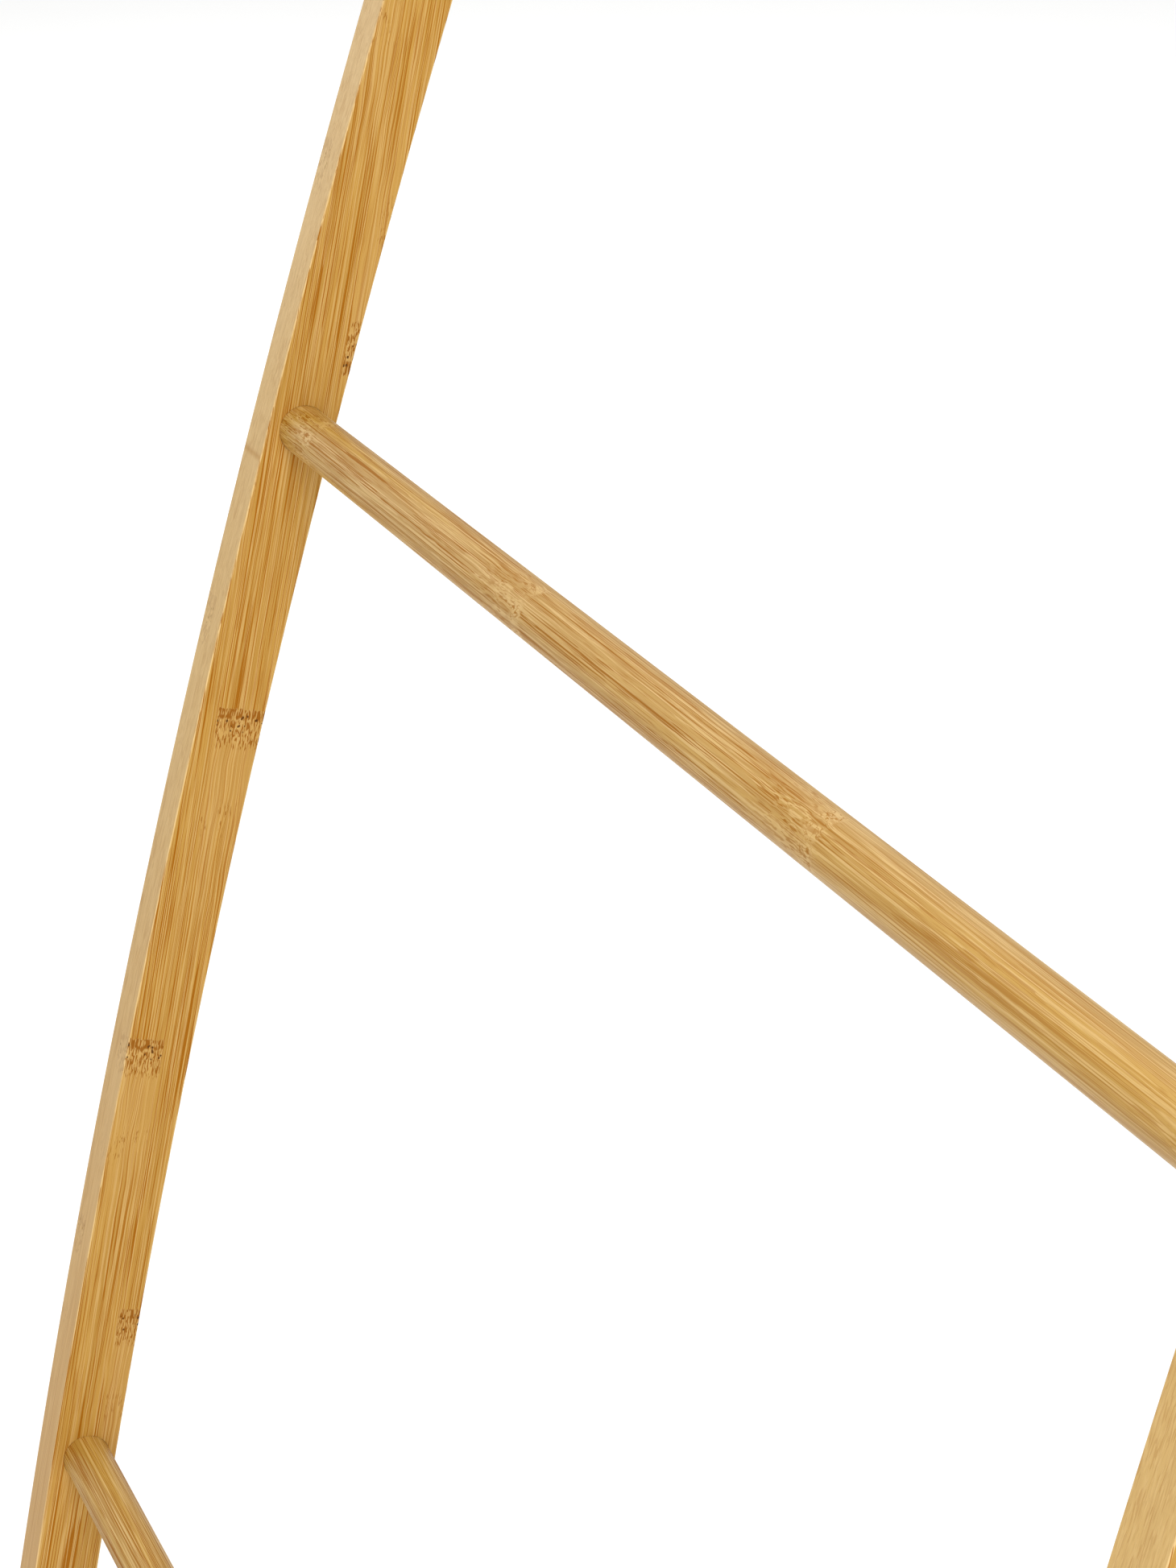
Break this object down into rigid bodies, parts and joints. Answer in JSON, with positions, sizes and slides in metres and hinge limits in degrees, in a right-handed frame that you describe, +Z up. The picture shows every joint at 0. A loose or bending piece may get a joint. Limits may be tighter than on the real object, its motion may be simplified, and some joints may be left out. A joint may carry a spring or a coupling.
{
  "type": "leaning towel ladder",
  "caption": "Curved bamboo ladder that leans on a wall, with round rungs between two bent side rails for towels or blankets.",
  "frame": {"origin": "on the floor, in the middle of the bounding box", "axes": "+Z up, +Y towards the wall the ladder leans on, +X to the right of a person who faces it"},
  "size_m": [0.6, 0.3392, 1.6775],
  "materials": {
    "bamboo_board": "clear satin lacquer over laminated bamboo",
    "bamboo_dowel": "clear satin lacquer over a round bamboo dowel",
    "screw_steel": "zinc-plated",
    "rubber": "matte"
  },
  "bodies": {
    "root": {"left_rail": "bamboo_board", "foot_pad_left": "rubber", "wall_pad_left": "rubber", "right_rail": "bamboo_board", "foot_pad_right": "rubber", "wall_pad_right": "rubber", "rung_1": "bamboo_dowel", "screw_left_1": "screw_steel", "screw_right_1": "screw_steel", "rung_2": "bamboo_dowel", "screw_left_2": "screw_steel", "screw_right_2": "screw_steel", "rung_3": "bamboo_dowel", "screw_left_3": "screw_steel", "screw_right_3": "screw_steel", "rung_4": "bamboo_dowel", "screw_left_4": "screw_steel", "screw_right_4": "screw_steel", "rung_5": "bamboo_dowel", "screw_left_5": "screw_steel", "screw_right_5": "screw_steel"}
  },
  "joints": []
}
